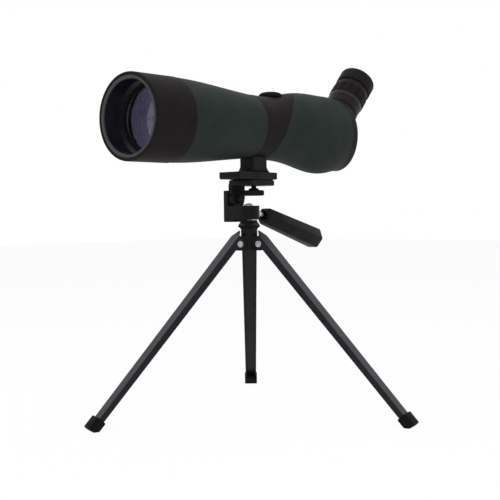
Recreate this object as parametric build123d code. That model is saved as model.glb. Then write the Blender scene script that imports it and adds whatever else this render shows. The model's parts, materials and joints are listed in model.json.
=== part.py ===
from build123d import *
import math
import os

# Angled spotting scope clamped on a folding table-top tripod.  Millimetres, +Z up.
# While it is modelled, the tripod's pan axis is X = Y = 0 and the soles of the feet
# are Z = 0.  The objective looks along -Y and the eyepiece rises towards +Y.

# ---- general clearances and walls ------------------------------------------------
RUN = 0.06            # radial clearance of a turning shaft in its hole
GAP = 0.3             # clearance between pieces that move past each other
SEAM = 0.15           # open seam between two skins that meet
SKIN = 1.5            # thickness of the rubber armour
WALL = 2.0            # wall of the moulded shells under the armour

# ---- tripod: legs and hub --------------------------------------------------------
LEG_LENGTH = 236.0    # pin to sole, along the leg
LEG_ANGLE = 42.0      # leg from the vertical when it is open
LEG_BEARINGS = (12.3, 132.3, 252.3)
PIN_RADIUS = 15.5     # pan axis to each leg pin
LEG_TOP_WIDTH = 16.0
LEG_FOOT_WIDTH = 12.4
LEG_TOP_DEPTH = 7.4
LEG_FOOT_DEPTH = 5.8
LEG_WEB_OUT = 6.4     # pin to the outer face of the web
LEG_SHEET = 1.2       # sheet that the leg is pressed from
TONGUE = 19.0         # web above the pin
EAR_R = 4.6           # round ears of the flanks about the pin
RIVET_D = 4.0
RIVET_HEAD_D = 6.6
RIVET_HEAD_T = 1.1
SHOE_WIDTH = 14.6
SHOE_OUTSIDE = 2.8    # rubber outside the web
SHOE_INSIDE = 2.4     # rubber inside the flanks
SHOE_LENGTH = 11.5    # along the leg above the sole
SHOE_TOE = 2.4        # along the leg below the sole's middle
HUB_POST_R = 8.6
HUB_BELOW_PIN = 6.8
HUB_ABOVE_PIN = 24.4

# ---- tripod: pan and tilt head ---------------------------------------------------
PAN_GAP = 0.4
ARM_HEIGHT = 14.5
ARM_END_R = 11.0
ARM_DROP = 2.2        # the arm is deeper under the ear
EAR_OUT = 27.4
EAR_THICK = 7.2
EAR_RISE = 16.1       # ear above the arm's top
PAN_SCREW_D = 6.0
PAN_HEAD_D = 8.4
PAN_HEAD_T = 2.4
TILT_RISE = 7.1       # tilt axis above the arm's top
TILT_BOLT_D = 5.0
TILT_HEAD_D = 9.0
TILT_NUT_T = 2.4
FLANGE_THICK = 5.4
FLANGE_FRONT = 10.0
FLANGE_REAR = 10.0
FLANGE_END_R = 9.4
FLANGE_NOTCH = 5.0    # front edge of the flange starts this far above the tilt axis
PLATE_RISE = 20.7     # underside of the tilt plate above the arm's top
PLATE_THICK = 5.4
PLATE_PAD_T = 1.0
PLATE_RIGHT = 12.7
PLATE_REAR = 27.6
SCREW_Y = 8.0         # camera screw behind the pan axis
SCREW_D = 6.35        # 1/4 inch
SCREW_REACH = 6.0     # thread above the plate pad
WHEEL_D = 21.5
WHEEL_T = 5.7
WHEEL_DROP = 4.6      # tilt plate down to the wheel
WHEEL_RIDGES = 32

# ---- tripod: pan handle ----------------------------------------------------------
HANDLE_FALL = 17.0    # slope below the horizontal
HANDLE_BELOW_TILT = 4.4
ROD_D = 5.4
ROD_FREE = 32.5       # flange to grip
GRIP_LENGTH = 95.0
GRIP_FRONT_D = 20.6   # across the corners
GRIP_REAR_D = 25.0
GRIP_SOCKET = 40.0

# ---- scope: foot -----------------------------------------------------------------
FOOT_X = 28.9
FOOT_Y = 59.5
FOOT_T = 7.2
COLUMN_X = 19.0
COLUMN_Y = 22.0
COLUMN_FLARE_Y = 8.0
COLUMN_FLARE_X = 4.4
FOOT_TO_AXIS = 54.4   # underside of the foot to the tube's axis
BUSH_D = 10.0
BUSH_DEPTH = 9.0

# ---- scope: tube -----------------------------------------------------------------
NOSE_Y = -163.2       # front of the rubber bell
BELL_LENGTH = 50.2
BELL_R = 41.0
BELL_WALL = 3.3
HOOD_BORE_R = 34.4
HOOD_DEPTH = 26.0     # nose to the lens retainer
FILTER_GROOVES = 5
CELL_DEPTH = 16.0     # retainer to the cell's rear shoulder
TUBE_FRONT_R = 40.6   # armour just behind the bell
WAIST_R = 33.0        # armour at the front edge of the saddle band
WAIST_Y = -5.5
LENS_R = 32.2
LENS_CURVE = 165.0
CLEAR_R = 30.5        # clear aperture radius
BAFFLE_RINGS = 22

# ---- scope: rear pod, as (Y, half width, top, bottom) about the tube's axis ------
POD = (
    (WAIST_Y, WAIST_R, WAIST_R, -WAIST_R),
    (14.0, 32.4, 32.6, -32.8),
    (36.0, 32.9, 34.6, -33.6),
    (60.0, 34.2, 39.2, -36.0),
    (86.0, 34.6, 41.4, -41.6),
    (114.0, 33.6, 40.9, -45.6),
    (141.0, 31.0, 38.8, -42.0),
)
COVER_T = 10.8        # rear cover behind the rim
COVER_EDGE = 3.0
COVER_SCREW_D = 3.0

# ---- scope: focus knob -----------------------------------------------------------
KNOB_Y = 36.0
KNOB_D = 25.0
KNOB_TOP = 38.6       # above the tube's axis
KNOB_T = 5.6
KNOB_RIDGES = 40
SHAFT_D = 5.0
ROLLER_R = 4.0
FOCUS_TRAVEL = 9.0
CARRIAGE_R = 21.0
CARRIAGE_L = 14.0

# ---- scope: eyepiece -------------------------------------------------------------
EYE_ANGLE = 48.0      # above the tube's axis
EYE_Y = 134.0         # where its axis crosses the tube's
EYE_BORE_R = 14.0
SOCKET_R = 19.1
SOCKET_TOP = 37.0     # distances along the eyepiece from the tube's axis
COLLAR_R = 19.8
COLLAR_L = 9.5
SLEEVE_R = 20.1
SLEEVE_L = 5.5
RING_R = 20.9
RING_L = 13.0
RING_GROOVES = 14
NECK_R = 19.6
NECK_L = 7.0
CUP_R = 20.9
CUP_L = 17.0
CUP_ROUND = 3.0
CUP_BORE_R = 15.5
ZOOM_TRAVEL = 8.0
ZOOM_CELL_L = 10.0
FIELD_ROOM = 19.0     # barrel below the zoom sleeve at the end of its travel
EYE_LENS_R = 12.0

# ---- heights that follow ---------------------------------------------------------
LEAN = math.radians(LEG_ANGLE)
PIN_Z = LEG_LENGTH * math.cos(LEAN)
HUB_TOP = PIN_Z + HUB_ABOVE_PIN
ARM_BASE = HUB_TOP + PAN_GAP
ARM_TOP = ARM_BASE + ARM_HEIGHT
TILT_Z = ARM_TOP + TILT_RISE
PLATE_BASE = ARM_TOP + PLATE_RISE
PAD_BASE = PLATE_BASE + PLATE_THICK
FOOT_BASE = PAD_BASE + PLATE_PAD_T
AXIS_Z = FOOT_BASE + FOOT_TO_AXIS
FLANGE_OUT = EAR_OUT - EAR_THICK - GAP
FLANGE_IN = FLANGE_OUT - FLANGE_THICK
FLANGE_MID = -(FLANGE_OUT + FLANGE_IN) / 2
EYE_TILT = math.radians(EYE_ANGLE)


# ---- shared shapes ---------------------------------------------------------------
def turned(corners):
    """A closed (radius, height) outline turned about the Z axis."""
    outline = Polyline(*[(r, 0, h) for r, h in corners], close=True)
    return revolve(make_face(outline), Axis.Z, 360)


def ring(outer, inner, low, high):
    """A plain tube about the Z axis."""
    return turned([(inner, low), (outer, low), (outer, high), (inner, high)])


def rod(radius, low, high):
    """A plain cylinder about the Z axis."""
    return Pos(0, 0, (low + high) / 2) * Cylinder(radius, high - low)


def block(low, high):
    """A box between two opposite corners."""
    size = [b - a for a, b in zip(low, high)]
    centre = [(a + b) / 2 for a, b in zip(low, high)]
    return Pos(*centre) * Box(*size)


def on_tube(piece):
    """Stand a piece turned about Z on the tube's axis, its +Z towards the rear."""
    return Plane(origin=(0, 0, AXIS_Z), x_dir=(1, 0, 0), z_dir=(0, 1, 0)).location * piece


def on_eyepiece(piece):
    """Stand a piece turned about Z on the eyepiece's axis."""
    lift = (0, math.cos(EYE_TILT), math.sin(EYE_TILT))
    return Plane(origin=(0, EYE_Y, AXIS_Z), x_dir=(1, 0, 0), z_dir=lift).location * piece


def on_leg(piece, bearing):
    """Place a leg piece: local origin at the pin, +X off the web, -Z down the leg."""
    hung = Pos(PIN_RADIUS, 0, PIN_Z) * Rot(0, -LEG_ANGLE, 0) * piece
    return Rot(0, 0, bearing) * hung


def around(piece, count):
    """Copies of a piece spaced evenly round the Z axis."""
    return [Rot(0, 0, 360 * i / count) * piece for i in range(count)]


def solid_of(shape):
    """The single solid that a boolean leaves."""
    return max(shape.solids(), key=lambda s: s.volume)


# ---- legs ------------------------------------------------------------------------
def channel_section(height, width, depth, sheet):
    """U section of a leg, open towards -X, at a local height."""
    back = LEG_WEB_OUT
    half = width / 2
    corners = [
        (back, -half), (back, half), (back - depth, half), (back - depth, half - sheet),
        (back - sheet, half - sheet), (back - sheet, sheet - half),
        (back - depth, sheet - half), (back - depth, -half),
    ]
    return make_face(Polyline(*[(x, y, height) for x, y in corners], close=True))


def leg_channel():
    """Pressed U channel with a tongue above the pin, round ears and a pin hole."""
    top = channel_section(TONGUE, LEG_TOP_WIDTH, LEG_TOP_DEPTH, LEG_SHEET)
    low = channel_section(-leg_end(), LEG_FOOT_WIDTH, LEG_FOOT_DEPTH, LEG_SHEET)
    leg = loft([top, low], ruled=True)
    inside = LEG_WEB_OUT - LEG_SHEET
    leg = leg - block((inside - 40, -LEG_TOP_WIDTH, 0), (inside, LEG_TOP_WIDTH, TONGUE + 1))
    for side in (-1, 1):
        middle = side * (LEG_TOP_WIDTH - LEG_SHEET) / 2
        ear = Rot(90, 0, 0) * Cylinder(EAR_R, LEG_SHEET)
        cheek = block((0, -LEG_SHEET / 2, -EAR_R), (inside + 0.1, LEG_SHEET / 2, EAR_R))
        leg = leg + Pos(0, middle, 0) * (ear + cheek)
        nip = Rot(side * 45, 0, 0) * block((0, -20, 0), (20, 20, 20))
        leg = leg - Pos(0, side * (LEG_TOP_WIDTH / 2 - 2.0), TONGUE) * nip
    hole = Rot(90, 0, 0) * Cylinder(RIVET_D / 2 + RUN, LEG_TOP_WIDTH * 2)
    return solid_of(leg - hole)


def leg_end():
    """Local distance from the pin to the cut end of the channel, inside the shoe."""
    return LEG_LENGTH - 6.0


def leg_shoe():
    """Rubber cap on the end of the channel, its sole flat on the floor."""
    out = LEG_WEB_OUT + SHOE_OUTSIDE
    inner = LEG_WEB_OUT - LEG_FOOT_DEPTH - SHOE_INSIDE
    half = SHOE_WIDTH / 2
    cap = block((inner, -half, -LEG_LENGTH - SHOE_TOE), (out, half, SHOE_LENGTH - LEG_LENGTH))
    return fillet(cap.edges().filter_by(Axis.Z), 1.2)


def legs_and_shoes():
    """Three channels and three shoes, in order of bearing."""
    channel = leg_channel()
    cap = leg_shoe() - channel
    channels = []
    shoes = []
    floor = Pos(0, 0, 50) * Box(1000, 1000, 100)
    for bearing in LEG_BEARINGS:
        channels.append(on_leg(channel, bearing))
        shoes.append(solid_of(on_leg(cap, bearing) & floor))
    return channels, shoes


def leg_hub():
    """Cast centre post with a lug between the flanks of each leg."""
    base = PIN_Z - HUB_BELOW_PIN
    lug_half = LEG_TOP_WIDTH / 2 - LEG_SHEET - GAP
    under_web = LEG_WEB_OUT - LEG_SHEET - GAP
    hub = turned([
        (0, base), (HUB_POST_R - 0.8, base), (HUB_POST_R, base + 1), (HUB_POST_R, HUB_TOP - 9),
        (HUB_POST_R + 3.6, HUB_TOP - 6.5), (HUB_POST_R, HUB_TOP - 1.4), (HUB_POST_R, HUB_TOP),
        (0, HUB_TOP),
    ])
    for bearing in LEG_BEARINGS:
        lug = Pos(PIN_RADIUS, 0, PIN_Z) * (Rot(90, 0, 0) * Cylinder(under_web, 2 * lug_half))
        arm = block((0, -lug_half, base), (PIN_RADIUS, lug_half, PIN_Z + 8))
        keep = Pos(PIN_RADIUS, 0, PIN_Z) * (
            Rot(0, -LEG_ANGLE, 0) * block((-60, -30, -60), (under_web, 30, 60)))
        arm = arm & keep
        hub = hub + Rot(0, 0, bearing) * (lug + arm)
    for bearing in LEG_BEARINGS:
        tongue = block((LEG_WEB_OUT - LEG_SHEET - GAP, -LEG_TOP_WIDTH / 2 - GAP, -8),
                       (LEG_WEB_OUT + 30, LEG_TOP_WIDTH / 2 + GAP, TONGUE + GAP))
        hub = hub - on_leg(tongue, bearing)
    hole = Rot(90, 0, 0) * Cylinder(RIVET_D / 2, 2 * LEG_TOP_WIDTH)
    for bearing in LEG_BEARINGS:
        hub = hub - Rot(0, 0, bearing) * (Pos(PIN_RADIUS, 0, PIN_Z) * hole)
    return solid_of(hub - rod(PAN_SCREW_D / 2, HUB_TOP - 14, HUB_TOP + 1))


def leg_rivet(bearing):
    """Rivet across one leg and its lug, with a washer head and a domed tip each side."""
    face = LEG_TOP_WIDTH / 2 + 0.1
    half = [
        (0, 0), (RIVET_D / 2, 0), (RIVET_D / 2, face), (RIVET_HEAD_D / 2, face),
        (RIVET_HEAD_D / 2, face + 0.7), (RIVET_HEAD_D / 2 - 0.4, face + RIVET_HEAD_T),
        (RIVET_D / 2, face + RIVET_HEAD_T), (RIVET_D / 2 - 0.2, face + RIVET_HEAD_T + 0.7),
        (RIVET_D / 4, face + RIVET_HEAD_T + 1.2), (0, face + RIVET_HEAD_T + 1.3),
    ]
    end = turned(half)
    pin = Rot(90, 0, 0) * end + Rot(-90, 0, 0) * end
    return Rot(0, 0, bearing) * (Pos(PIN_RADIUS, 0, PIN_Z) * pin)


# ---- pan and tilt head -----------------------------------------------------------
def pan_screw():
    """Shouldered screw in the hub that the pan bracket turns on."""
    under = ARM_TOP + GAP / 3
    return turned([
        (0, HUB_TOP - 13), (PAN_SCREW_D / 2 - 0.4, HUB_TOP - 13),
        (PAN_SCREW_D / 2, HUB_TOP - 12), (PAN_SCREW_D / 2, under),
        (PAN_HEAD_D / 2, under), (PAN_HEAD_D / 2, under + PAN_HEAD_T * 0.45),
        (PAN_HEAD_D / 2 - 1.4, under + PAN_HEAD_T * 0.85), (1.4, under + PAN_HEAD_T),
        (0, under + PAN_HEAD_T),
    ])


def pan_bracket():
    """Cast C bracket: arm with a round end on the pan axis, and an ear for the tilt bolt."""
    wide = ARM_END_R
    low = ARM_BASE - ARM_DROP
    high = ARM_TOP + EAR_RISE
    side_view = block((-EAR_OUT, -wide, ARM_BASE), (wide, wide, ARM_TOP))
    side_view = side_view + block((-EAR_OUT, -wide, low), (-EAR_OUT + EAR_THICK, wide, high))
    side_view = side_view + block((-EAR_OUT, -wide, low), (-wide - 1, wide, ARM_BASE + 1))
    crown = side_view.edges().filter_by(Axis.Y).group_by(Axis.X)[0]
    side_view = fillet(crown, 4.0)
    plan = block((-EAR_OUT, -wide, low), (0, wide, high))
    plan = fillet(plan.edges().filter_by(Axis.Z).group_by(Axis.X)[0], 3.4)
    plan = plan + rod(wide, low, high)
    body = side_view & plan
    bore = rod(PAN_SCREW_D / 2 + RUN, ARM_BASE - 1, ARM_TOP + 1)
    hole = Pos(-EAR_OUT, 0, TILT_Z) * (Rot(0, 90, 0) * Cylinder(TILT_BOLT_D / 2, 4 * EAR_THICK))
    return solid_of(body - tilt_slot() - bore - hole)


def tilt_slot():
    """Room for the tilt flange's round end, open to the rear for the handle's rod."""
    left = -EAR_OUT + EAR_THICK
    right = -FLANGE_IN + GAP
    round_end = Pos((left + right) / 2, 0, TILT_Z) * (
        Rot(0, 90, 0) * Cylinder(FLANGE_END_R + GAP, right - left))
    rear = block((left, 0, ARM_BASE + 3.0), (right, ARM_END_R + 5, ARM_TOP + 1))
    return round_end + rear


def tilt_bolt():
    """Bolt fixed in the ear; the tilt flange turns on its shank."""
    start = EAR_OUT + 1.8
    shank = [
        (0, 0), (TILT_HEAD_D / 2 - 0.8, 0), (TILT_HEAD_D / 2, 0.8), (TILT_HEAD_D / 2, 1.8),
        (TILT_BOLT_D / 2, 1.8), (TILT_BOLT_D / 2, start - FLANGE_IN + TILT_NUT_T + 0.6),
        (0, start - FLANGE_IN + TILT_NUT_T + 0.6),
    ]
    return Pos(-start, 0, TILT_Z) * (Rot(0, 90, 0) * turned(shank))


def tilt_nut():
    """Hexagon nut on the inner end of the tilt bolt."""
    hexagon = extrude(RegularPolygon(4.2, 6), TILT_NUT_T) - rod(TILT_BOLT_D / 2, -1, 9)
    return Pos(-FLANGE_IN + GAP / 2, 0, TILT_Z) * (Rot(0, 90, 0) * hexagon)


def tilt_bracket():
    """Cast plate that carries the scope, with the flange that hangs beside the ear."""
    plate = block((-FLANGE_OUT, -FLANGE_FRONT, PLATE_BASE), (PLATE_RIGHT, PLATE_REAR, PAD_BASE))
    plate = fillet(plate.edges().filter_by(Axis.Z), 2.5)
    plate = chamfer(plate.faces().sort_by(Axis.Z)[0].edges(), 0.8)
    flange = block((-FLANGE_OUT, -FLANGE_FRONT, TILT_Z), (-FLANGE_IN, FLANGE_REAR, PLATE_BASE + 2))
    flange = fillet(flange.edges().filter_by(Axis.Z).group_by(Axis.Y)[0], 1.2)
    boss = Pos(FLANGE_MID, 0, TILT_Z) * (Rot(0, 90, 0) * Cylinder(FLANGE_END_R, FLANGE_THICK))
    trim = block((-30, -20, TILT_Z - 20), (0, -FLANGE_END_R + 1.4, TILT_Z + FLANGE_NOTCH))
    body = plate + (flange - trim) + boss
    bolt_hole = Pos(FLANGE_MID, 0, TILT_Z) * (
        Rot(0, 90, 0) * Cylinder(TILT_BOLT_D / 2 + RUN, 2 * FLANGE_THICK))
    screw_hole = Pos(0, SCREW_Y, 0) * rod(SCREW_D / 2 + RUN, PLATE_BASE - 1, PAD_BASE + 1)
    return solid_of(body - bolt_hole - screw_hole - rod_socket())


def plate_pad():
    """Thin rubber pad between the tilt plate and the scope's foot."""
    pad = block((-FLANGE_OUT + 1, -FLANGE_FRONT + 1, PAD_BASE),
                (PLATE_RIGHT - 1, PLATE_REAR - 1, FOOT_BASE))
    pad = fillet(pad.edges().filter_by(Axis.Z), 2.0)
    return solid_of(pad - Pos(0, SCREW_Y, 0) * rod(SCREW_D / 2 + GAP, PAD_BASE - 1, FOOT_BASE + 1))


def camera_screw():
    """Threaded camera screw with its ridged thumb wheel."""
    top = FOOT_BASE + SCREW_REACH
    wheel_top = PLATE_BASE - WHEEL_DROP
    wheel_low = wheel_top - WHEEL_T
    r = WHEEL_D / 2
    stem = turned([
        (0, wheel_low), (r - 1.2, wheel_low), (r - 0.5, wheel_low + 0.6),
        (r - 0.5, wheel_top - 0.6), (r - 1.2, wheel_top), (5.4, wheel_top),
        (5.0, wheel_top + 1.9), (2.6, wheel_top + 2.3), (2.6, PLATE_BASE - 0.5),
        (SCREW_D / 2, PLATE_BASE - 0.2), (SCREW_D / 2, top - 0.6), (SCREW_D / 2 - 0.6, top),
        (0, top),
    ])
    ridge = Pos(r - 0.5, 0, (wheel_low + wheel_top) / 2) * Box(1.0, 1.0, WHEEL_T - 1.2)
    for one in around(ridge, WHEEL_RIDGES):
        stem = stem + one
    return solid_of(Pos(0, SCREW_Y, 0) * stem)


# ---- pan handle ------------------------------------------------------------------
def handle_place():
    """Handle frame: origin where the rod leaves the flange's middle, +Z along the rod."""
    fall = math.radians(HANDLE_FALL)
    direction = (0, math.cos(fall), -math.sin(fall))
    start = (FLANGE_MID, 0, TILT_Z - HANDLE_BELOW_TILT)
    return Plane(origin=start, x_dir=(1, 0, 0), z_dir=direction).location


def rod_start():
    """Distance along the rod from the handle frame's origin to its buried end."""
    return FLANGE_END_R - 2.0


def rod_socket():
    """Hole in the flange for the end of the handle's rod."""
    return handle_place() * rod(FLANGE_THICK * 0.36 + RUN, rod_start() - 0.3, 30)


def handle_rod():
    """Bright steel rod with a turned-down end in the flange."""
    small = FLANGE_THICK * 0.36
    begin = rod_start()
    step = FLANGE_END_R + 1.6
    end = step + ROD_FREE + GRIP_SOCKET
    return handle_place() * turned([
        (0, begin), (small, begin), (small, step), (ROD_D / 2 - 0.5, step),
        (ROD_D / 2, step + 0.8), (ROD_D / 2, end), (0, end),
    ])


def handle_grip():
    """Six-sided tapered grip moulded on the rod, with a deep recess round the rod."""
    front = FLANGE_END_R + 1.6 + ROD_FREE
    back = front + GRIP_LENGTH
    small = Pos(0, 0, front + 4) * RegularPolygon(GRIP_FRONT_D / 2, 6)
    large = Pos(0, 0, back - 3) * RegularPolygon(GRIP_REAR_D / 2, 6)
    nose = Pos(0, 0, front) * RegularPolygon(GRIP_FRONT_D / 2 - 1.8, 6)
    tail = Pos(0, 0, back) * RegularPolygon(GRIP_REAR_D / 2 - 2.4, 6)
    grip = loft([nose, small], ruled=True)
    grip = grip + loft([small, large], ruled=True)
    grip = grip + loft([large, tail], ruled=True)
    recess = turned([(0, front - 1), (5.6, front - 1), (5.0, front + 9), (0, front + 9)])
    return solid_of(handle_place() * (grip - recess - rod(ROD_D / 2, front, front + GRIP_SOCKET)))


# ---- scope shells ----------------------------------------------------------------
def pod(inset):
    """Rear body as a smooth loft through its sections, each drawn in by an inset."""
    sections = []
    for y, half, top, bottom in POD:
        middle = AXIS_Z + (top + bottom) / 2
        face = Plane(origin=(0, y, middle), x_dir=(1, 0, 0), z_dir=(0, 1, 0))
        sections.append(face * Ellipse(half - inset, (top - bottom) / 2 - inset))
    return loft(sections)


def band_edge(shift=0.0):
    """Everything in front of the saddle band's swept-back rear edge."""
    low = (18.2 + shift, AXIS_Z - 27)
    middle = (29.0 + shift, AXIS_Z + 5)
    high = (64.0 + shift, AXIS_Z + 39)
    edge = ThreePointArc((0, *low), (0, *middle), (0, *high))
    loop = Curve() + [
        edge,
        Polyline((0, *high), (0, high[0], AXIS_Z + 80), (0, -90, AXIS_Z + 80),
                 (0, -90, AXIS_Z - 80), (0, low[0], AXIS_Z - 80), (0, *low)),
    ]
    return extrude(make_face(loop), 80, dir=(1, 0, 0), both=True)


def knob_well():
    """Round seat through the shells for the focus knob's shaft and underside."""
    seat = AXIS_Z + KNOB_TOP - KNOB_T
    drill = rod(SHAFT_D / 2 + RUN, AXIS_Z, AXIS_Z + 60)
    return Pos(0, KNOB_Y, 0) * (rod(KNOB_D / 2 + GAP, seat - GAP, AXIS_Z + 60) + drill)


def foot_holes(radius):
    """Two screw holes from the shells down into the foot's column."""
    return [Pos(0, SCREW_Y + s * 5.6, 0) * rod(radius, FOOT_BASE + 10, AXIS_Z - 20) for s in (-1, 1)]


def saddle_band():
    """Black rubber band between the two green armours, open at the knob and the foot."""
    band = (pod(0) - pod(SKIN)) & band_edge(-SEAM)
    return solid_of(band - knob_well() - foot_column())


def rear_armour():
    """Green rubber skin over the prism housing."""
    return solid_of((pod(0) - pod(SKIN)) - band_edge(SEAM) - foot_column())


def prism_housing():
    """Moulded shell that holds the focusing carriage and the prism."""
    shell = pod(SKIN) - pod(SKIN + WALL)
    shell = shell - knob_well()
    for hole in foot_holes(1.6):
        shell = shell - hole
    for screw in foot_screws():
        shell = shell - screw
    return solid_of(shell)


def tube_profile(inset):
    """Outer line of the front armour as (radius, height) points, front to rear."""
    front = NOSE_Y + BELL_LENGTH
    length = WAIST_Y - front
    drop = TUBE_FRONT_R - WAIST_R
    shape = ((0.0, 0.0), (0.16, 0.05), (0.36, 0.22), (1.0, 1.0))
    return [(TUBE_FRONT_R - drop * d - inset, front + length * t) for t, d in shape]


def smooth_shell(outer_inset, inner_inset, front_cut=0.0, rear_cut=0.0):
    """Shell between two insets of the tube's profile."""
    outer = tube_profile(outer_inset)
    inner = tube_profile(inner_inset)
    outer_line = Spline(*[(r, 0, h) for r, h in outer])
    inner_line = Spline(*[(r, 0, h) for r, h in inner])
    front = Line(inner_line @ 0, outer_line @ 0)
    rear = Line(outer_line @ 1, inner_line @ 1)
    shell = revolve(make_face(Curve() + [front, outer_line, rear, inner_line]), Axis.Z, 360)
    keep = ring(60, 1, outer[0][1] + front_cut, outer[-1][1] - rear_cut)
    return on_tube(shell & keep)


def front_armour():
    """Green rubber skin of the front barrel, a smooth cone."""
    return solid_of(smooth_shell(0, SKIN, SEAM, SEAM))


def front_barrel():
    """Moulded cone under the front armour."""
    return solid_of(smooth_shell(SKIN, SKIN + WALL))


def bell_armour():
    """Black rubber bell round the objective, bevelled at its nose."""
    back = NOSE_Y + BELL_LENGTH
    inner = BELL_R - BELL_WALL
    return on_tube(turned([
        (inner, NOSE_Y + 1.0), (BELL_R - 1.0, NOSE_Y), (BELL_R - 0.2, NOSE_Y + 0.6),
        (BELL_R, NOSE_Y + 1.6), (BELL_R, back - 0.8), (BELL_R - 0.4, back), (inner, back),
    ]))


def objective_cell():
    """Hood and lens cell in one turned piece, with filter grooves before the retainer."""
    outer = BELL_R - BELL_WALL
    ring_y = NOSE_Y + HOOD_DEPTH
    seat = ring_y + 3.5
    shoulder = ring_y + CELL_DEPTH
    rear = NOSE_Y + BELL_LENGTH
    pitch = 1.5
    corners = [
        (HOOD_BORE_R + 0.9, NOSE_Y + 0.6), (outer, NOSE_Y + 0.6), (outer, rear),
        (CLEAR_R - 0.8, rear), (CLEAR_R - 0.8, shoulder), (LENS_R + 0.05, shoulder),
        (LENS_R + 0.05, seat), (HOOD_BORE_R + 0.5, seat), (HOOD_BORE_R + 0.5, ring_y),
    ]
    for i in range(FILTER_GROOVES):
        y = ring_y - i * pitch
        corners += [(HOOD_BORE_R, y - 0.25), (HOOD_BORE_R, y - 0.7),
                    (HOOD_BORE_R + 0.5, y - 0.95), (HOOD_BORE_R + 0.5, y - pitch)]
    last = ring_y - FILTER_GROOVES * pitch
    corners += [(HOOD_BORE_R, last - 0.3), (HOOD_BORE_R, NOSE_Y + 1.5)]
    return on_tube(turned(corners))


def lens_retainer():
    """Threaded ring that holds the objective lenses in their cell."""
    front = NOSE_Y + HOOD_DEPTH
    return on_tube(turned([
        (CLEAR_R, front + 1.2), (CLEAR_R + 0.7, front + 0.1), (HOOD_BORE_R + 0.45, front + 0.1),
        (HOOD_BORE_R + 0.45, front + 3.4), (LENS_R - 0.2, front + 3.4),
        (LENS_R - 0.2, front + 3.9), (CLEAR_R, front + 3.5),
    ]))


def lens(radius, front_edge, rear_edge, front_bulge, rear_bulge):
    """Lens about Z: edge between two heights, each face bulging by a given height."""
    lines = [Line((radius, 0, front_edge), (radius, 0, rear_edge))]
    lines.append(cap_line(radius, rear_edge, rear_bulge))
    lines.append(Line((0, 0, rear_edge + rear_bulge), (0, 0, front_edge - front_bulge)))
    lines.append(cap_line(radius, front_edge, -front_bulge))
    return revolve(make_face(Curve() + lines), Axis.Z, 360)


def cap_line(radius, edge, rise):
    """Half of a shallow spherical cap's section, from its edge to the axis."""
    if abs(rise) < 1e-6:
        return Line((radius, 0, edge), (0, 0, edge))
    curve = (radius ** 2 + rise ** 2) / (2 * abs(rise))
    half = radius / 2
    sag = curve - math.sqrt(curve ** 2 - half ** 2)
    middle = edge + rise - math.copysign(sag, rise)
    return ThreePointArc((radius, 0, edge), (half, 0, middle), (0, 0, edge + rise))


def objective_lenses():
    """Crown lens in front and flint lens behind it, a thin air space between."""
    sag = LENS_CURVE - math.sqrt(LENS_CURVE ** 2 - LENS_R ** 2)
    edge = NOSE_Y + HOOD_DEPTH + 4.0
    crown = lens(LENS_R, edge, edge + 2.6, sag, sag)
    flint = lens(LENS_R, edge + 2.7, edge + 8.2, -sag, 0)
    return on_tube(crown), on_tube(flint)


def lens_spacer():
    """Ring between the flint lens and the cell's shoulder."""
    edge = NOSE_Y + HOOD_DEPTH + 4.0 + 8.2
    return on_tube(ring(LENS_R, CLEAR_R - 0.8, edge, NOSE_Y + HOOD_DEPTH + CELL_DEPTH))


def baffle_tube():
    """Ribbed light baffle, a cone of rings narrowing towards the prism."""
    start = NOSE_Y + BELL_LENGTH + 1.0
    end = WAIST_Y - 6.0
    outer = []
    inner = []
    steps = BAFFLE_RINGS
    for i in range(steps + 1):
        t = i / steps
        y = start + (end - start) * t
        r = CLEAR_R - 1.5 - 9.0 * t
        inner.append((r - 0.9, y))
        inner.append((r, y + (end - start) / steps * 0.45))
    inner = [p for p in inner if p[1] <= end]
    outer = [(CLEAR_R + 0.2, start), (CLEAR_R - 8.8, end)]
    return on_tube(turned(inner + outer[::-1]))


def barrel_joint():
    """Ring that screws the barrel to the prism housing, with the baffle's rear seat."""
    outer = WAIST_R - SKIN - WALL - 0.02
    joint = on_tube(turned([
        (CLEAR_R - 10.5, WAIST_Y - 6.0), (outer, WAIST_Y - 6.0), (outer - 0.5, WAIST_Y + 4.0),
        (outer - 2.5, WAIST_Y + 4.0), (outer - 2.5, WAIST_Y - 3.5), (CLEAR_R - 10.5, WAIST_Y - 3.5),
    ]))
    for guide in focus_rods():
        joint = joint - guide
    return solid_of(joint)


def rear_cover():
    """Black end cap with the slanted socket that carries the eyepiece."""
    y, half, top, bottom = POD[-1]
    middle = AXIS_Z + (top + bottom) / 2
    tall = (top - bottom) / 2
    face = Plane(origin=(0, y + SEAM, middle), x_dir=(1, 0, 0), z_dir=(0, 1, 0))
    slab = extrude(face * Ellipse(half, tall), COVER_T)
    rim = slab.faces().sort_by(Axis.Y)[-1].edges()
    slab = fillet(rim, COVER_EDGE)
    socket = on_eyepiece(rod(SOCKET_R, 0, SOCKET_TOP))
    behind = block((-60, y + SEAM, 0), (60, y + 90, AXIS_Z + 90))
    cap = slab + (socket & behind)
    plug = pod(SKIN + WALL + 0.05) & block((-60, y - 4, 0), (60, y + 1, AXIS_Z + 90))
    cap = cap + plug
    cap = cap - on_eyepiece(rod(EYE_BORE_R, -60, SOCKET_TOP + 1))
    cap = cap - on_eyepiece(rod(COLLAR_R + GAP, SOCKET_TOP, SOCKET_TOP + 60))
    for hole in cover_screw_places():
        cap = cap - hole * Cylinder(COVER_SCREW_D / 2, 60)
    return solid_of(cap)


def cover_screw_places():
    """Places of the screws that hold the rear cover, their +Z rearwards."""
    y, half, top, bottom = POD[-1]
    spots = ((half - 7.0, -10.0), (7.0 - half, -10.0), (13.0, bottom + 12.0), (-13.0, bottom + 12.0))
    return [Plane(origin=(x, y, AXIS_Z + z), x_dir=(1, 0, 0), z_dir=(0, 1, 0)).location for x, z in spots]


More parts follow.
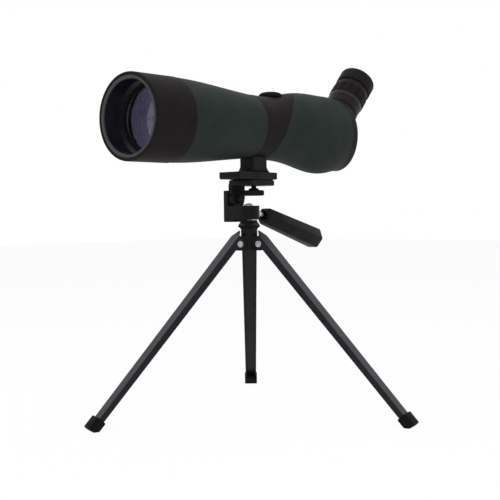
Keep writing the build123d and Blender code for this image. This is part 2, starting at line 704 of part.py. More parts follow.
def cover_screws():
    """Four pan-head screws through the rear cover."""
    face = COVER_T + SEAM
    screw = turned([
        (0, -3.5), (COVER_SCREW_D / 2 - 0.1, -3.5), (COVER_SCREW_D / 2 - 0.02, face),
        (2.6, face), (2.6, face + 0.8), (1.8, face + 1.5), (0, face + 1.6),
    ])
    slot = Pos(0, 0, face + 1.5) * (Box(3.2, 0.6, 1.4) + Box(0.6, 3.2, 1.4))
    return [place * (screw - slot) for place in cover_screw_places()]


# ---- foot ------------------------------------------------------------------------
def foot_column():
    """Upright of the foot, from its plate up past the skin of the pod."""
    column = block((-COLUMN_X / 2, SCREW_Y - COLUMN_Y / 2, FOOT_BASE + 2),
                   (COLUMN_X / 2, SCREW_Y + COLUMN_Y / 2, AXIS_Z - 15))
    return fillet(column.edges().filter_by(Axis.Z), 1.6)


def mounting_foot():
    """Moulded foot: flat plate, flared column and a saddle that fits the pod."""
    front = SCREW_Y - FOOT_Y / 2 - 7.8
    top = FOOT_BASE + FOOT_T
    plate = block((-FOOT_X / 2, front, FOOT_BASE), (FOOT_X / 2, front + FOOT_Y, top))
    plate = fillet(plate.edges().filter_by(Axis.Z), 2.0)
    plate = chamfer(plate.faces().sort_by(Axis.Z)[0].edges(), 1.0)
    half_x = COLUMN_X / 2
    half_y = COLUMN_Y / 2
    flare = block((-half_x + 1, -half_y - COLUMN_FLARE_Y, top - 1),
                  (half_x - 1, half_y + COLUMN_FLARE_Y, top + COLUMN_FLARE_Y))
    flare = flare + block((-half_x - COLUMN_FLARE_X, -half_y + 1, top - 1),
                          (half_x + COLUMN_FLARE_X, half_y - 1, top + COLUMN_FLARE_X))
    for side in (-1, 1):
        sweep_y = Rot(0, 90, 0) * Cylinder(COLUMN_FLARE_Y, COLUMN_X)
        flare = flare - Pos(0, side * (half_y + COLUMN_FLARE_Y), top + COLUMN_FLARE_Y) * sweep_y
        sweep_x = Rot(90, 0, 0) * Cylinder(COLUMN_FLARE_X, COLUMN_Y)
        flare = flare - Pos(side * (half_x + COLUMN_FLARE_X), 0, top + COLUMN_FLARE_X) * sweep_x
    body = plate + foot_column() + Pos(0, SCREW_Y, 0) * flare
    body = body - pod(SKIN)
    body = body - Pos(0, SCREW_Y, 0) * rod(BUSH_D / 2, FOOT_BASE - 1, FOOT_BASE + BUSH_DEPTH)
    for hole in foot_holes(1.5):
        body = body - hole
    return solid_of(body)


def tripod_bush():
    """Brass bush moulded in the foot, with the camera-screw hole."""
    bush = ring(BUSH_D / 2, SCREW_D / 2 + RUN, FOOT_BASE, FOOT_BASE + BUSH_DEPTH)
    return Pos(0, SCREW_Y, 0) * bush


def foot_screws():
    """Two screws from inside the pod into the foot's column."""
    floor = AXIS_Z + POD[1][3] + SKIN + WALL
    screws = []
    for side in (-1, 1):
        shank = turned([
            (0, floor - 11), (1.45, floor - 11), (1.45, floor + 0.5), (2.8, floor + 0.5),
            (2.8, floor + 1.5), (2.0, floor + 2.1), (0, floor + 2.1),
        ])
        screws.append(Pos(0, SCREW_Y + side * 5.6, 0) * shank)
    return screws


# ---- focusing --------------------------------------------------------------------
def focus_knob():
    """Ridged rubber focus knob, low and round, on top of the band."""
    top = AXIS_Z + KNOB_TOP
    low = top - KNOB_T
    r = KNOB_D / 2
    knob = turned([
        (0, low), (r - 0.4, low), (r - 0.4, top - 3.0), (r - 1.2, top - 1.8),
        (r - 3.0, top - 0.7), (r - 5.5, top - 0.15), (r - 8.0, top), (0, top),
    ])
    ridge = Pos(r - 0.5, 0, low + (KNOB_T - 3.2) / 2) * Box(1.0, 0.9, KNOB_T - 3.2)
    for one in around(ridge, KNOB_RIDGES):
        knob = knob + one
    return solid_of(Pos(0, KNOB_Y, 0) * (knob - rod(SHAFT_D / 2, low - 1, low + 3)))


def focus_shaft():
    """Shaft under the knob with the roller that drives the carriage."""
    seat = AXIS_Z + KNOB_TOP - KNOB_T
    rail = AXIS_Z + CARRIAGE_R
    return Pos(0, KNOB_Y, 0) * turned([
        (0, rail - 0.5), (ROLLER_R, rail - 0.5), (ROLLER_R, rail + 5.0), (SHAFT_D / 2, rail + 5.0),
        (SHAFT_D / 2, seat + 3), (0, seat + 3),
    ])


def focus_carriage():
    """Sliding ring that carries the focusing lens, with the rail beside the roller."""
    half = CARRIAGE_L / 2
    body = on_tube(ring(CARRIAGE_R - 1.5, 16.0, KNOB_Y - half, KNOB_Y + half))
    reach = FOCUS_TRAVEL + 1.5
    rail = block((ROLLER_R + RUN, KNOB_Y - reach, AXIS_Z + CARRIAGE_R - 0.3),
                 (ROLLER_R + RUN + 2.5, KNOB_Y + reach, AXIS_Z + CARRIAGE_R + 4.5))
    post = block((ROLLER_R + RUN, KNOB_Y - 3, AXIS_Z + CARRIAGE_R - 4),
                 (ROLLER_R + RUN + 2.5, KNOB_Y + 3, AXIS_Z + CARRIAGE_R))
    bore = on_tube(rod(16.0, KNOB_Y - half - 1, KNOB_Y + half + 1))
    slider = body + rail + (post - bore)
    for side in (-1, 1):
        place = Pos(side * (CARRIAGE_R + 1.0), 0, 0)
        boss = place * rod(3.2, KNOB_Y - half, KNOB_Y + half)
        web = block((side * 20.0 - 2.5, -2.0, KNOB_Y - half), (side * 20.0 + 2.5, 2.0, KNOB_Y + half))
        slider = slider + on_tube(boss + web)
        slider = slider - on_tube(place * rod(1.5 + RUN, KNOB_Y - half - 1, KNOB_Y + half + 1))
    return solid_of(slider - bore)


def focus_lens():
    """Focusing lens in the carriage."""
    return on_tube(lens(16.0, KNOB_Y - 1.5, KNOB_Y + 1.5, 1.2, -0.8))


def focus_rods():
    """Two guide rods along the housing that the carriage slides on."""
    front = WAIST_Y - 3.5
    back = KNOB_Y + CARRIAGE_L / 2 + FOCUS_TRAVEL + 8
    return [on_tube(Pos(s * (CARRIAGE_R + 1.0), 0, 0) * rod(1.5, front, back)) for s in (-1, 1)]


def guide_frame():
    """Bulkhead across the housing that holds the rear ends of the guide rods."""
    back = KNOB_Y + CARRIAGE_L / 2 + FOCUS_TRAVEL + 4
    plate = pod(SKIN + WALL) & block((-60, back, 0), (60, back + 4, AXIS_Z + 90))
    plate = plate - on_tube(rod(CARRIAGE_R - 3, back - 1, back + 5))
    for side in (-1, 1):
        plate = plate - on_tube(Pos(side * (CARRIAGE_R + 1.0), 0, 0) * rod(1.5, back - 1, back + 5))
    return solid_of(plate)


# ---- prism -----------------------------------------------------------------------
def roof_prism():
    """Glass prism that folds the light up into the eyepiece."""
    size = 16.0
    profile = Polyline((0, EYE_Y - 2 * size, AXIS_Z - size), (0, EYE_Y, AXIS_Z - size),
                       (0, EYE_Y + 1, AXIS_Z - 2), (0, EYE_Y - 8, AXIS_Z + size * 0.75),
                       (0, EYE_Y - 2 * size, AXIS_Z + size), close=True)
    return extrude(make_face(profile), size - 2, dir=(1, 0, 0), both=True)


def prism_cradle():
    """Moulded tray under and round the prism, fixed to the housing wall."""
    size = 16.0
    low = AXIS_Z - size
    tray = block((-size - 3, EYE_Y - 2 * size - 2, low - 4), (size + 3, EYE_Y - 1, low))
    for side in (-1, 1):
        near = side * (size - 2)
        far = side * (size + 1)
        cheek = block((min(near, far), EYE_Y - 2 * size, low - 1),
                      (max(near, far), EYE_Y - 4, low + 14))
        tray = tray + cheek
    stand = block((-8, EYE_Y - 2 * size + 2, low - 60), (8, EYE_Y - 8, low - 3))
    return solid_of(tray + (stand & pod(SKIN + WALL)))


def prism_clip():
    """Spring strap over the top of the prism."""
    size = 16.0
    top = AXIS_Z + size
    y = EYE_Y - 2 * size + 3
    strap = block((-size - 1, y, top + 0.02), (size + 1, y + 8, top + 0.8))
    for side in (-1, 1):
        near = side * (size + 1)
        far = side * (size + 1.8)
        strap = strap + block((min(near, far), y, AXIS_Z - size), (max(near, far), y + 8, top + 0.8))
    return solid_of(strap - roof_prism())


# ---- eyepiece --------------------------------------------------------------------
def eye_levels():
    """Distances along the eyepiece where its pieces meet."""
    collar = SOCKET_TOP
    sleeve = collar + COLLAR_L
    zoom = sleeve + SLEEVE_L
    neck = zoom + RING_L
    cup = neck + NECK_L
    return collar, sleeve, zoom, neck, cup


def barrel_foot():
    """Distance along the eyepiece of its barrel's lower end."""
    return eye_levels()[2] - ZOOM_CELL_L - ZOOM_TRAVEL - FIELD_ROOM


def eyepiece_collar():
    """Clamp collar on the socket that holds the eyepiece with two set screws."""
    collar, sleeve, zoom, neck, cup = eye_levels()
    body = turned([
        (EYE_BORE_R, collar), (COLLAR_R - 0.5, collar), (COLLAR_R, collar + 0.6),
        (COLLAR_R, sleeve - 0.5), (COLLAR_R - 0.5, sleeve), (EYE_BORE_R, sleeve),
    ])
    for place in set_screw_places():
        body = body - place * Cylinder(1.7, 30)
    return solid_of(on_eyepiece(body))


def set_screw_places():
    """Places of the set screws, their +Z outwards, in the eyepiece's own frame."""
    height = SOCKET_TOP + COLLAR_L * 0.55
    spots = []
    for turn in (62.0, 98.0):
        out = Vector(math.cos(math.radians(turn)), math.sin(math.radians(turn)), 0)
        spots.append(Plane(origin=Vector(0, 0, height) + out * COLLAR_R, z_dir=out).location)
    return spots


def set_screws():
    """Two small bright set screws in the collar."""
    screw = turned([
        (0, -4.0), (1.65, -4.0), (1.65, 0.5), (1.3, 0.9), (0.7, 0.9), (0.7, -0.4), (0, -0.4),
    ])
    return [on_eyepiece(place * screw) for place in set_screw_places()]


def eyepiece_barrel():
    """Inner barrel of the eyepiece, from the socket up to the eyecup, with its sleeve."""
    collar, sleeve, zoom, neck, cup = eye_levels()
    body = turned([
        (EYE_LENS_R, barrel_foot()), (EYE_BORE_R - 0.02, barrel_foot()), (EYE_BORE_R - 0.02, sleeve),
        (SLEEVE_R - 0.4, sleeve), (SLEEVE_R, sleeve + 0.4), (SLEEVE_R, zoom - GAP),
        (RING_R - 3.2, zoom - GAP), (RING_R - 3.2, neck), (RING_R - 4.6, neck),
        (RING_R - 4.6, cup + 7), (EYE_LENS_R + 1.2, cup + 7), (EYE_LENS_R + 1.2, zoom),
        (EYE_LENS_R, zoom),
    ])
    return solid_of(on_eyepiece(body))


def zoom_ring():
    """Rubber-covered zoom ring with pairs of long grooves."""
    collar, sleeve, zoom, neck, cup = eye_levels()
    body = turned([
        (RING_R - 3.2 + RUN, zoom), (RING_R - 0.6, zoom), (RING_R, zoom + 0.6),
        (RING_R, neck - GAP - 0.6), (RING_R - 0.6, neck - GAP), (RING_R - 3.2 + RUN, neck - GAP),
    ])
    slot = Pos(RING_R, 0, (zoom + neck) / 2) * Box(1.4, 0.9, RING_L - 2.4)
    pair = [Rot(0, 0, turn) * slot for turn in (-3.4, 3.4)]
    for one in pair:
        for cut in around(one, RING_GROOVES):
            body = body - cut
    return solid_of(on_eyepiece(body))


def eyepiece_neck():
    """Smooth collar between the zoom ring and the eyecup."""
    collar, sleeve, zoom, neck, cup = eye_levels()
    return on_eyepiece(turned([
        (RING_R - 4.6, neck), (NECK_R - 0.3, neck), (NECK_R, neck + 0.3), (NECK_R, cup - 0.3),
        (NECK_R - 0.3, cup), (RING_R - 4.6, cup),
    ]))


def eyecup():
    """Soft rubber eyecup with a rounded lip, rolled over the neck's top."""
    collar, sleeve, zoom, neck, cup = eye_levels()
    top = cup + CUP_L
    return on_eyepiece(turned([
        (RING_R - 4.6, cup), (CUP_R - 0.4, cup), (CUP_R, cup + 0.5), (CUP_R, top - CUP_ROUND),
        (CUP_R - 0.4, top - CUP_ROUND * 0.5), (CUP_R - 1.3, top - CUP_ROUND * 0.14),
        (CUP_R - 2.4, top), (CUP_R - 3.6, top - 0.5), (CUP_BORE_R, top - 4),
        (CUP_BORE_R, cup + 7.1), (RING_R - 4.6, cup + 7.1),
    ]))


def eye_lenses():
    """Eye lens at the top of the barrel and field lens at its foot."""
    collar, sleeve, zoom, neck, cup = eye_levels()
    eye = lens(EYE_LENS_R + 1.2, cup + 1.5, cup + 4.5, 1.0, 1.2)
    field = lens(EYE_LENS_R, barrel_foot() + 2, barrel_foot() + 5, 1.0, 0.0)
    return on_eyepiece(eye), on_eyepiece(field)


def eye_lens_ring():
    """Retaining ring over the eye lens."""
    cup = eye_levels()[-1]
    return on_eyepiece(ring(EYE_LENS_R + 1.2, EYE_LENS_R - 0.8, cup + 4.9, cup + 6.9))


def zoom_cell():
    """Sleeve that slides inside the barrel as the zoom ring turns."""
    zoom = eye_levels()[2]
    low = zoom - ZOOM_CELL_L
    return on_eyepiece(ring(EYE_LENS_R - RUN, EYE_LENS_R - 2.2, low, zoom))


def zoom_lens():
    """Lens carried in the zoom sleeve."""
    low = eye_levels()[2] - ZOOM_CELL_L
    return on_eyepiece(lens(EYE_LENS_R - 2.2, low + 3.5, low + 6.5, 0.8, 0.8))


# ---- the whole object ------------------------------------------------------------
def build():
    """Every node's solids, in the pan-axis frame."""
    channels, shoes = legs_and_shoes()
    crown, flint = objective_lenses()
    eye, field = eye_lenses()
    nodes = {}
    for number, (channel, shoe, bearing) in enumerate(zip(channels, shoes, LEG_BEARINGS), 1):
        nodes[f"leg_{number}"] = [channel]
        nodes[f"leg_{number}_shoe"] = [shoe]
        nodes[f"leg_{number}_rivet"] = [leg_rivet(bearing)]
    nodes["leg_hub"] = [leg_hub()]
    nodes["pan_screw"] = [pan_screw()]
    nodes["pan_bracket"] = [pan_bracket()]
    nodes["tilt_bolt"] = [tilt_bolt()]
    nodes["tilt_nut"] = [tilt_nut()]
    nodes["tilt_bracket"] = [tilt_bracket()]
    nodes["plate_pad"] = [plate_pad()]
    nodes["camera_screw"] = [camera_screw()]
    nodes["handle_rod"] = [handle_rod()]
    nodes["handle_grip"] = [handle_grip()]
    nodes["mounting_foot"] = [mounting_foot()]
    nodes["tripod_bush"] = [tripod_bush()]
    nodes["foot_screws"] = foot_screws()
    nodes["bell_armour"] = [bell_armour()]
    nodes["objective_cell"] = [objective_cell()]
    nodes["lens_retainer"] = [lens_retainer()]
    nodes["objective_crown_lens"] = [crown]
    nodes["objective_flint_lens"] = [flint]
    nodes["lens_spacer"] = [lens_spacer()]
    nodes["baffle_tube"] = [baffle_tube()]
    nodes["front_barrel"] = [front_barrel()]
    nodes["front_armour"] = [front_armour()]
    nodes["barrel_joint"] = [barrel_joint()]
    nodes["saddle_band"] = [saddle_band()]
    nodes["prism_housing"] = [prism_housing()]
    nodes["rear_armour"] = [rear_armour()]
    nodes["rear_cover"] = [rear_cover()]
    nodes["cover_screws"] = cover_screws()
    nodes["focus_knob"] = [focus_knob()]
    nodes["focus_shaft"] = [focus_shaft()]
    nodes["focus_carriage"] = [focus_carriage()]
    nodes["focus_lens"] = [focus_lens()]
    nodes["guide_rods"] = focus_rods()
    nodes["guide_frame"] = [guide_frame()]
    nodes["roof_prism"] = [roof_prism()]
    nodes["prism_cradle"] = [prism_cradle()]
    nodes["prism_clip"] = [prism_clip()]
    nodes["eyepiece_collar"] = [eyepiece_collar()]
    nodes["collar_set_screws"] = set_screws()
    nodes["eyepiece_barrel"] = [eyepiece_barrel()]
    nodes["zoom_ring"] = [zoom_ring()]
    nodes["eyepiece_neck"] = [eyepiece_neck()]
    nodes["eyecup"] = [eyecup()]
    nodes["eye_lens"] = [eye]
    nodes["field_lens"] = [field]
    nodes["eye_lens_ring"] = [eye_lens_ring()]
    nodes["zoom_cell"] = [zoom_cell()]
    nodes["zoom_lens"] = [zoom_lens()]
    return nodes


def corners_of(nodes):
    """Lowest and highest corners of all the pieces together."""
    boxes = [piece.bounding_box() for pieces in nodes.values() for piece in pieces]
    low = [min(getattr(b.min, axis) for b in boxes) for axis in "XYZ"]
    high = [max(getattr(b.max, axis) for b in boxes) for axis in "XYZ"]
    return low, high


NODES = build()
LOW, HIGH = corners_of(NODES)
ORIGIN = ((LOW[0] + HIGH[0]) / 2, (LOW[1] + HIGH[1]) / 2, LOW[2])

os.makedirs("parts", exist_ok=True)
for name, pieces in NODES.items():
    placed = [Pos(-ORIGIN[0], -ORIGIN[1], -ORIGIN[2]) * piece for piece in pieces]
    shape = placed[0] if len(placed) == 1 else Compound(children=placed)
    export_step(shape, f"parts/{name}.step")
print("nodes", len(NODES), "origin", [round(v, 4) for v in ORIGIN])
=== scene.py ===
import bpy
import json
import math
from mathutils import Matrix, Vector


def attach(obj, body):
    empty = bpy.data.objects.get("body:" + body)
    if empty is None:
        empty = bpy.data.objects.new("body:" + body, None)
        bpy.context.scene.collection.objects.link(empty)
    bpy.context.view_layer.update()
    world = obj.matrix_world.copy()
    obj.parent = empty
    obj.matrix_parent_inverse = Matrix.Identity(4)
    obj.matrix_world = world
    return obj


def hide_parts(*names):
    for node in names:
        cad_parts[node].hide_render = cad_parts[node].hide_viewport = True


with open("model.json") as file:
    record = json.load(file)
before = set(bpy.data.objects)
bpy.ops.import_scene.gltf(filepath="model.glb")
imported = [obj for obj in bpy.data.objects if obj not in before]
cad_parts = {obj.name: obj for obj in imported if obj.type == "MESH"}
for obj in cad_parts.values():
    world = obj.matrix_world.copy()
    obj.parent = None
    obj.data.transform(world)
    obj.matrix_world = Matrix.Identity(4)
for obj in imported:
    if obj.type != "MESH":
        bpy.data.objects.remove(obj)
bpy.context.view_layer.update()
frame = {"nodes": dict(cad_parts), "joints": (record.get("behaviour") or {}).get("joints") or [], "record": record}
nodes = frame["nodes"]
joints = {joint["name"]: joint for joint in frame["joints"]}

# ---- studio ------------------------------------------------------------------------
# A white table top and backdrop, with three large soft lamps that no glass mirrors.
# The camera stands in front and to the right, a little below the tube.
camera_data = bpy.data.cameras.new("studio_camera")
camera_data.lens = 70.95
camera_data.sensor_width = 36.0
camera_data.clip_start = 0.01
camera = bpy.data.objects.new("studio_camera", camera_data)
bpy.context.scene.collection.objects.link(camera)
camera_tip, camera_roll, camera_heading = 88.05355, 0.71439, 42.23056
camera.location = (0.662647, -0.773166, 0.203473)
camera.rotation_euler = [math.radians(angle) for angle in (camera_tip, camera_roll, camera_heading)]
bpy.context.scene.camera = camera
bpy.context.scene.view_settings.view_transform = "Standard"


def seen_directly(tree):
    """A value of 1 where a camera, glossy or transmission ray lands, and 0 elsewhere."""
    path = tree.nodes.new("ShaderNodeLightPath")
    first = tree.nodes.new("ShaderNodeMath")
    first.operation = "MAXIMUM"
    tree.links.new(path.outputs["Is Camera Ray"], first.inputs[0])
    tree.links.new(path.outputs["Is Glossy Ray"], first.inputs[1])
    both = tree.nodes.new("ShaderNodeMath")
    both.operation = "MAXIMUM"
    tree.links.new(first.outputs[0], both.inputs[0])
    tree.links.new(path.outputs["Is Transmission Ray"], both.inputs[1])
    return both.outputs[0]


world = bpy.data.worlds.new("white_room")
bpy.context.scene.world = world
world.use_nodes = True
room = world.node_tree
room.nodes.clear()
room_light = room.nodes.new("ShaderNodeBackground")
room_light.inputs["Color"].default_value = (1, 1, 1, 1)
room_light.inputs["Strength"].default_value = 0.36
room_white = room.nodes.new("ShaderNodeBackground")
room_white.inputs["Color"].default_value = (1, 1, 1, 1)
room_mix = room.nodes.new("ShaderNodeMixShader")
room_out = room.nodes.new("ShaderNodeOutputWorld")
room.links.new(seen_directly(room), room_mix.inputs[0])
room.links.new(room_light.outputs[0], room_mix.inputs[1])
room.links.new(room_white.outputs[0], room_mix.inputs[2])
room.links.new(room_mix.outputs[0], room_out.inputs[0])

bpy.ops.object.select_all(action="DESELECT")
bpy.ops.mesh.primitive_plane_add(size=12.0, location=(0, 0, 0))
table_top = bpy.context.object
table_top.name = "table_top"
table_paint = bpy.data.materials.new("white_table")
table_paint.use_nodes = True
table_tree = table_paint.node_tree
table_tree.nodes.clear()
table_matt = table_tree.nodes.new("ShaderNodeBsdfDiffuse")
table_matt.inputs["Color"].default_value = (0.9, 0.9, 0.9, 1)
table_glow = table_tree.nodes.new("ShaderNodeEmission")
table_share = table_tree.nodes.new("ShaderNodeMath")
table_share.operation = "MULTIPLY"
table_share.inputs[1].default_value = 0.95
table_mix = table_tree.nodes.new("ShaderNodeMixShader")
table_out = table_tree.nodes.new("ShaderNodeOutputMaterial")
table_tree.links.new(seen_directly(table_tree), table_share.inputs[0])
table_tree.links.new(table_share.outputs[0], table_mix.inputs[0])
table_tree.links.new(table_matt.outputs[0], table_mix.inputs[1])
table_tree.links.new(table_glow.outputs[0], table_mix.inputs[2])
table_tree.links.new(table_mix.outputs[0], table_out.inputs[0])
table_top.data.materials.append(table_paint)

for lamp_name, lamp_place, lamp_size, lamp_power in (
    ("key_lamp", (-0.5, -1.1, 1.25), 0.9, 16.0),
    ("fill_lamp", (1.3, -0.3, 0.8), 1.0, 8.0),
    ("top_lamp", (0.1, 0.5, 1.5), 1.1, 7.0),
):
    lamp_data = bpy.data.lights.new(lamp_name, "AREA")
    lamp_data.size = lamp_size
    lamp_data.energy = lamp_power
    lamp = bpy.data.objects.new(lamp_name, lamp_data)
    bpy.context.scene.collection.objects.link(lamp)
    lamp.location = lamp_place
    lamp.visible_glossy = False
    lamp.visible_transmission = False
    lamp.rotation_euler = (Vector((0, 0, 0.2)) - lamp.location).to_track_quat("-Z", "Y").to_euler()


# ---- legs --------------------------------------------------------------------------
# Three U channels pressed from steel sheet and stoved in black lacquer.
# The lacquer has a soft sheen, with a slight orange peel.
def surface(name, dark, light, grain, roughness, metallic=0.0, bump=0.0, coat=0.0, gloss=0.5):
    """A finish whose colour and roughness wander a little, with a grain size in metres."""
    finish = bpy.data.materials.new(name)
    finish.use_nodes = True
    tree = finish.node_tree
    shader = tree.nodes["Principled BSDF"]
    shader.inputs["Metallic"].default_value = metallic
    shader.inputs["Coat Weight"].default_value = coat
    shader.inputs["Specular IOR Level"].default_value = gloss
    place = tree.nodes.new("ShaderNodeTexCoord")
    broad = tree.nodes.new("ShaderNodeTexNoise")
    broad.inputs["Scale"].default_value = 60.0
    broad.inputs["Detail"].default_value = 5.0
    tree.links.new(place.outputs["Object"], broad.inputs["Vector"])
    tint = tree.nodes.new("ShaderNodeValToRGB")
    tint.color_ramp.elements[0].position = 0.35
    tint.color_ramp.elements[0].color = (*dark, 1)
    tint.color_ramp.elements[1].position = 0.65
    tint.color_ramp.elements[1].color = (*light, 1)
    tree.links.new(broad.outputs["Fac"], tint.inputs["Fac"])
    tree.links.new(tint.outputs["Color"], shader.inputs["Base Color"])
    fine = tree.nodes.new("ShaderNodeTexNoise")
    fine.inputs["Scale"].default_value = 1.0 / grain
    fine.inputs["Detail"].default_value = 3.0
    tree.links.new(place.outputs["Object"], fine.inputs["Vector"])
    sheen = tree.nodes.new("ShaderNodeMapRange")
    sheen.inputs["To Min"].default_value = roughness - 0.06
    sheen.inputs["To Max"].default_value = roughness + 0.06
    tree.links.new(fine.outputs["Fac"], sheen.inputs["Value"])
    tree.links.new(sheen.outputs["Result"], shader.inputs["Roughness"])
    if bump:
        relief = tree.nodes.new("ShaderNodeBump")
        relief.inputs["Strength"].default_value = 0.5
        relief.inputs["Distance"].default_value = bump
        tree.links.new(fine.outputs["Fac"], relief.inputs["Height"])
        tree.links.new(relief.outputs["Normal"], shader.inputs["Normal"])
    return finish


def dress(finish, *names):
    """Give carried-over nodes a finish through their own material slots."""
    for name in names:
        for material_slot in nodes[name].material_slots:
            material_slot.material = finish


lacquer = surface("black_lacquer", (0.007, 0.006, 0.010), (0.011, 0.010, 0.015), 0.0012,
                  0.32, bump=0.00002, gloss=0.15)
dress(lacquer, "leg_1", "leg_2", "leg_3")

# ---- shoes -------------------------------------------------------------------------
# Moulded rubber caps pushed over the channel ends, cut flat where they stand.
# Each is a bevelled block round the end of its leg.
shoe_rubber = surface("shoe_rubber", (0.004, 0.004, 0.004), (0.009, 0.008, 0.008), 0.0007,
                      0.7, bump=0.00005, gloss=0.06)
leg_lean = math.radians(42.0)
shoe_width = 0.0146
shoe_low, shoe_high = -0.2384, -0.2245
shoe_inner, shoe_outer = -0.0018, 0.0092
for number in (1, 2, 3):
    pin = joints[f"leg_{number}_fold"]
    bearing = math.atan2(-pin["axis"][0], pin["axis"][1])
    on_leg = (Matrix.Translation(pin["pos_m"]) @ Matrix.Rotation(bearing, 4, "Z")
              @ Matrix.Rotation(-leg_lean, 4, "Y"))
    bpy.ops.object.select_all(action="DESELECT")
    bpy.ops.mesh.primitive_cube_add(size=1.0)
    shoe = bpy.context.object
    shoe.name = f"shoe_{number}"
    middle = ((shoe_inner + shoe_outer) / 2, 0, (shoe_low + shoe_high) / 2)
    size = (shoe_outer - shoe_inner, shoe_width, shoe_high - shoe_low)
    shoe.matrix_world = on_leg @ Matrix.Translation(middle) @ Matrix.Diagonal((*size, 1))
    bpy.ops.object.transform_apply(location=True, rotation=True, scale=True)
    bpy.ops.object.mode_set(mode="EDIT")
    bpy.ops.mesh.select_all(action="SELECT")
    bpy.ops.mesh.bisect(plane_co=(0, 0, 0), plane_no=(0, 0, 1), use_fill=True, clear_inner=True)
    bpy.ops.mesh.select_all(action="SELECT")
    bpy.ops.mesh.normals_make_consistent(inside=False)
    bpy.ops.object.mode_set(mode="OBJECT")
    rounding = shoe.modifiers.new("rounding", "BEVEL")
    rounding.width = 0.0011
    rounding.segments = 3
    bpy.ops.object.modifier_apply(modifier="rounding")
    bpy.ops.object.shade_smooth_by_angle(angle=math.radians(40))
    shoe.data.materials.append(shoe_rubber)
    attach(shoe, f"leg_{number}")
    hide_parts(f"leg_{number}_shoe")

# ---- hub and rivets ----------------------------------------------------------------
# The hub is a zinc casting in black paint, with one lug to a leg.
# Nickel-plated rivets join them, their tips hammered to a dome.
cast_paint = surface("cast_paint", (0.005, 0.005, 0.005), (0.010, 0.009, 0.009), 0.0009,
                     0.48, bump=0.00004, gloss=0.1)
nickel = surface("nickel_plate", (0.34, 0.32, 0.32), (0.46, 0.44, 0.44), 0.0006, 0.24, metallic=1.0)
dress(cast_paint, "leg_hub", "pan_bracket", "tilt_bracket", "tilt_bolt", "tilt_nut")
dress(nickel, "leg_1_rivet", "leg_2_rivet", "leg_3_rivet", "pan_screw", "collar_set_screws")

# ---- camera screw and plate pad ----------------------------------------------------
# A steel thread with a ridged thumb wheel moulded on it, under the tilt plate.
# A thin rubber pad between plate and foot stops the scope from turning.
moulding = surface("black_moulding", (0.005, 0.004, 0.004), (0.010, 0.009, 0.009), 0.0006,
                   0.52, bump=0.00003, gloss=0.12)
dress(moulding, "camera_screw", "mounting_foot", "front_barrel", "prism_housing", "prism_cradle")
dress(shoe_rubber, "plate_pad")

# ---- handle ------------------------------------------------------------------------
# A bright steel rod screwed into the tilt flange, with a six-sided moulded grip.
# The grip tapers towards the rod and its corners are softly rounded.
bright_steel = surface("bright_steel", (0.5, 0.48, 0.46), (0.66, 0.64, 0.61), 0.0004,
                       0.28, metallic=1.0)
dress(bright_steel, "handle_rod", "focus_shaft", "guide_rods", "prism_clip", "foot_screws",
      "cover_screws")
grip_front, grip_length = 0.0435, 0.095
grip_front_r, grip_rear_r = 0.0103, 0.0125
grip_bore_r = 0.0028
grip_mouth_r, grip_socket_r, grip_socket_depth = 0.0056, 0.0050, 0.009
grip_sides = 6
handle = joints["handle_turn"]
handle_axis = Vector(handle["axis"]).normalized()
handle_side = Vector((1, 0, 0))
handle_up = handle_axis.cross(handle_side)
handle_turn = Matrix((handle_side, handle_up, handle_axis)).transposed().to_4x4()
flat_on_top = Matrix.Rotation(math.pi / grip_sides, 4, "Z")
on_handle = Matrix.Translation(handle["pos_m"]) @ handle_turn @ flat_on_top


def pulled(name, steps, sides):
    """A ring of edges pulled through (radius, height) steps, capped or closed on itself."""
    bpy.ops.object.select_all(action="DESELECT")
    radius, height = steps[0]
    bpy.ops.mesh.primitive_circle_add(vertices=sides, radius=radius, fill_type="NOTHING",
                                      location=(0, 0, height))
    piece = bpy.context.object
    piece.name = name
    bpy.ops.object.mode_set(mode="EDIT")
    bpy.ops.mesh.select_all(action="SELECT")
    for next_radius, next_height in steps[1:]:
        rise = (0, 0, next_height - height)
        bpy.ops.mesh.extrude_region_move(TRANSFORM_OT_translate={"value": rise})
        share = next_radius / radius
        bpy.ops.transform.resize(value=(share, share, 1))
        radius, height = next_radius, next_height
    bpy.ops.mesh.select_all(action="SELECT")
    bpy.ops.mesh.remove_doubles(threshold=0.000005)
    bpy.ops.mesh.normals_make_consistent(inside=False)
    bpy.ops.object.mode_set(mode="OBJECT")
    bpy.ops.object.transform_apply(location=True, rotation=True, scale=True)
    return piece


def settle(piece, place, angle):
    """Put a finished piece in its place, in its own mesh, with smooth shading."""
    bpy.ops.object.select_all(action="DESELECT")
    piece.select_set(True)
    bpy.context.view_layer.objects.active = piece
    piece.matrix_world = place
    bpy.ops.object.transform_apply(location=True, rotation=True, scale=True)
    bpy.ops.object.shade_smooth_by_angle(angle=math.radians(angle))


grip_back = grip_front + grip_length
grip = pulled("handle_grip_body", [
    (grip_bore_r, grip_front + grip_socket_depth), (grip_socket_r, grip_front + grip_socket_depth),
    (grip_mouth_r, grip_front + 0.0002), (grip_front_r - 0.0018, grip_front),
    (grip_front_r, grip_front + 0.004), (grip_rear_r, grip_back - 0.003),
    (grip_rear_r - 0.0024, grip_back), (grip_bore_r, grip_back),
    (grip_bore_r, grip_front + grip_socket_depth),
], grip_sides)
grip_rounding = grip.modifiers.new("rounding", "BEVEL")
grip_rounding.width = 0.0008
grip_rounding.segments = 3
bpy.ops.object.modifier_apply(modifier="rounding")
settle(grip, on_handle, 35)
grip.data.materials.append(moulding)
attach(grip, "handle")
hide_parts("handle_grip")

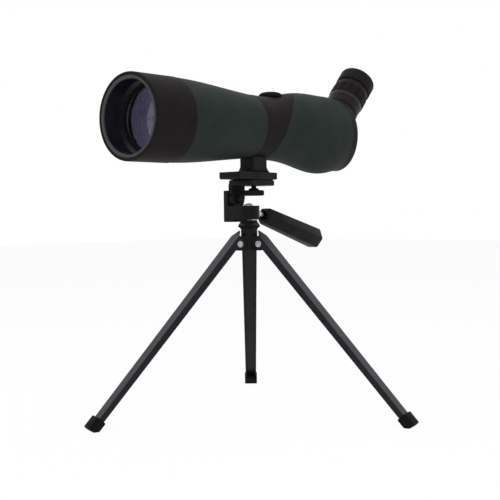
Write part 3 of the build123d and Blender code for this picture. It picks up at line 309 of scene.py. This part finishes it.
# ---- armour ------------------------------------------------------------------------
# Soft green rubber is moulded over the barrel and the prism housing.
# The bell and the band between the two greens are black rubber, finely textured.
green_rubber = surface("green_armour", (0.0125, 0.0185, 0.0150), (0.0155, 0.0225, 0.0185), 0.0005,
                       0.62, bump=0.00005, gloss=0.1)
black_rubber = surface("black_armour", (0.0075, 0.0055, 0.0060), (0.0095, 0.0072, 0.0078), 0.0005,
                       0.6, bump=0.00005, gloss=0.08)
dress(green_rubber, "front_armour", "rear_armour")
dress(black_rubber, "bell_armour", "saddle_band")

# ---- objective ---------------------------------------------------------------------
# The hood, retainer and ribbed baffle are aluminium, anodised black against glare.
# The lenses are optical glass with a violet-blue coating.
anodised = surface("black_anodised", (0.008, 0.007, 0.008), (0.014, 0.012, 0.014), 0.0008,
                   0.36, gloss=0.22)
hood_black = surface("hood_black", (0.008, 0.0075, 0.012), (0.012, 0.011, 0.017), 0.0008,
                     0.26, gloss=0.5)
ribbed_black = surface("ribbed_black", (0.012, 0.011, 0.017), (0.020, 0.018, 0.027), 0.0008,
                       0.3, gloss=0.6)
dress(hood_black, "objective_cell", "lens_retainer")
dress(ribbed_black, "baffle_tube")
dress(anodised, "barrel_joint", "lens_spacer", "guide_frame", "focus_carriage", "zoom_cell",
      "eye_lens_ring", "eyepiece_barrel")
glass = bpy.data.materials.new("coated_glass")
glass.use_nodes = True
glass_shader = glass.node_tree.nodes["Principled BSDF"]
glass_shader.inputs["Base Color"].default_value = (0.62, 0.58, 0.86, 1)
glass_shader.inputs["Roughness"].default_value = 0.01
glass_shader.inputs["IOR"].default_value = 1.52
glass_shader.inputs["Specular IOR Level"].default_value = 0.08
glass_shader.inputs["Transmission Weight"].default_value = 1.0
dress(glass, "objective_crown_lens", "objective_flint_lens", "focus_lens", "roof_prism",
      "eye_lens", "field_lens", "zoom_lens")

# ---- foot bush and rear cover ------------------------------------------------------
# A turned brass bush moulded into the foot takes the camera screw.
# The rear cover is a black moulding held by four screws.
brass = surface("turned_brass", (0.5, 0.34, 0.14), (0.64, 0.46, 0.2), 0.0005, 0.3, metallic=1.0)
dress(brass, "tripod_bush")
dress(moulding, "rear_cover")

# ---- focus knob --------------------------------------------------------------------
# A low domed rubber knob on top of the band, ridged round its side for grip.
# It is moulded on a steel shaft.
dress(black_rubber, "focus_knob")

# ---- eyepiece ----------------------------------------------------------------------
# Collar and neck in satin black, and a zoom ring in grooved rubber.
# The soft eyecup is rolled over the top, its lip rounded for the eye.
satin_black = surface("satin_black", (0.0065, 0.0050, 0.0055), (0.0090, 0.0072, 0.0078), 0.0008,
                      0.42, gloss=0.13)
dress(satin_black, "eyepiece_collar", "eyepiece_neck")
dress(black_rubber, "zoom_ring")
zoom = joints["zoom_turn"]
eye_axis = Vector(zoom["axis"]).normalized()
eye_side = Vector((1, 0, 0))
eye_turn = Matrix((eye_side, eye_axis.cross(eye_side), eye_axis)).transposed().to_4x4()
mounts = {mount["name"]: mount for mount in frame["record"]["mounts"]}
cup_middle = (Vector(mounts["eyecup_outside"]["pos_m"]) - Vector(zoom["pos_m"])).length
cup_length, cup_r, cup_bore_r, cup_inner_r = 0.0165, 0.0209, 0.0155, 0.0163
cup_base = cup_middle - 0.007
cup_top = cup_base + cup_length
cup_step = cup_base + 0.0071
lip_r = 0.0024
lip = [(cup_r - lip_r + lip_r * math.cos(angle), cup_top - lip_r + lip_r * math.sin(angle))
       for angle in map(math.radians, range(0, 181, 20))]
cup = pulled("soft_eyecup", [
    (cup_inner_r, cup_base), (cup_r - 0.0004, cup_base), (cup_r, cup_base + 0.0005),
    *lip, (cup_bore_r, cup_top - 0.004), (cup_bore_r, cup_step), (cup_inner_r, cup_step),
    (cup_inner_r, cup_base),
], 96)
settle(cup, Matrix.Translation(zoom["pos_m"]) @ eye_turn, 35)
cup.data.materials.append(black_rubber)
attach(cup, "tilt_head")
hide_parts("eyecup")
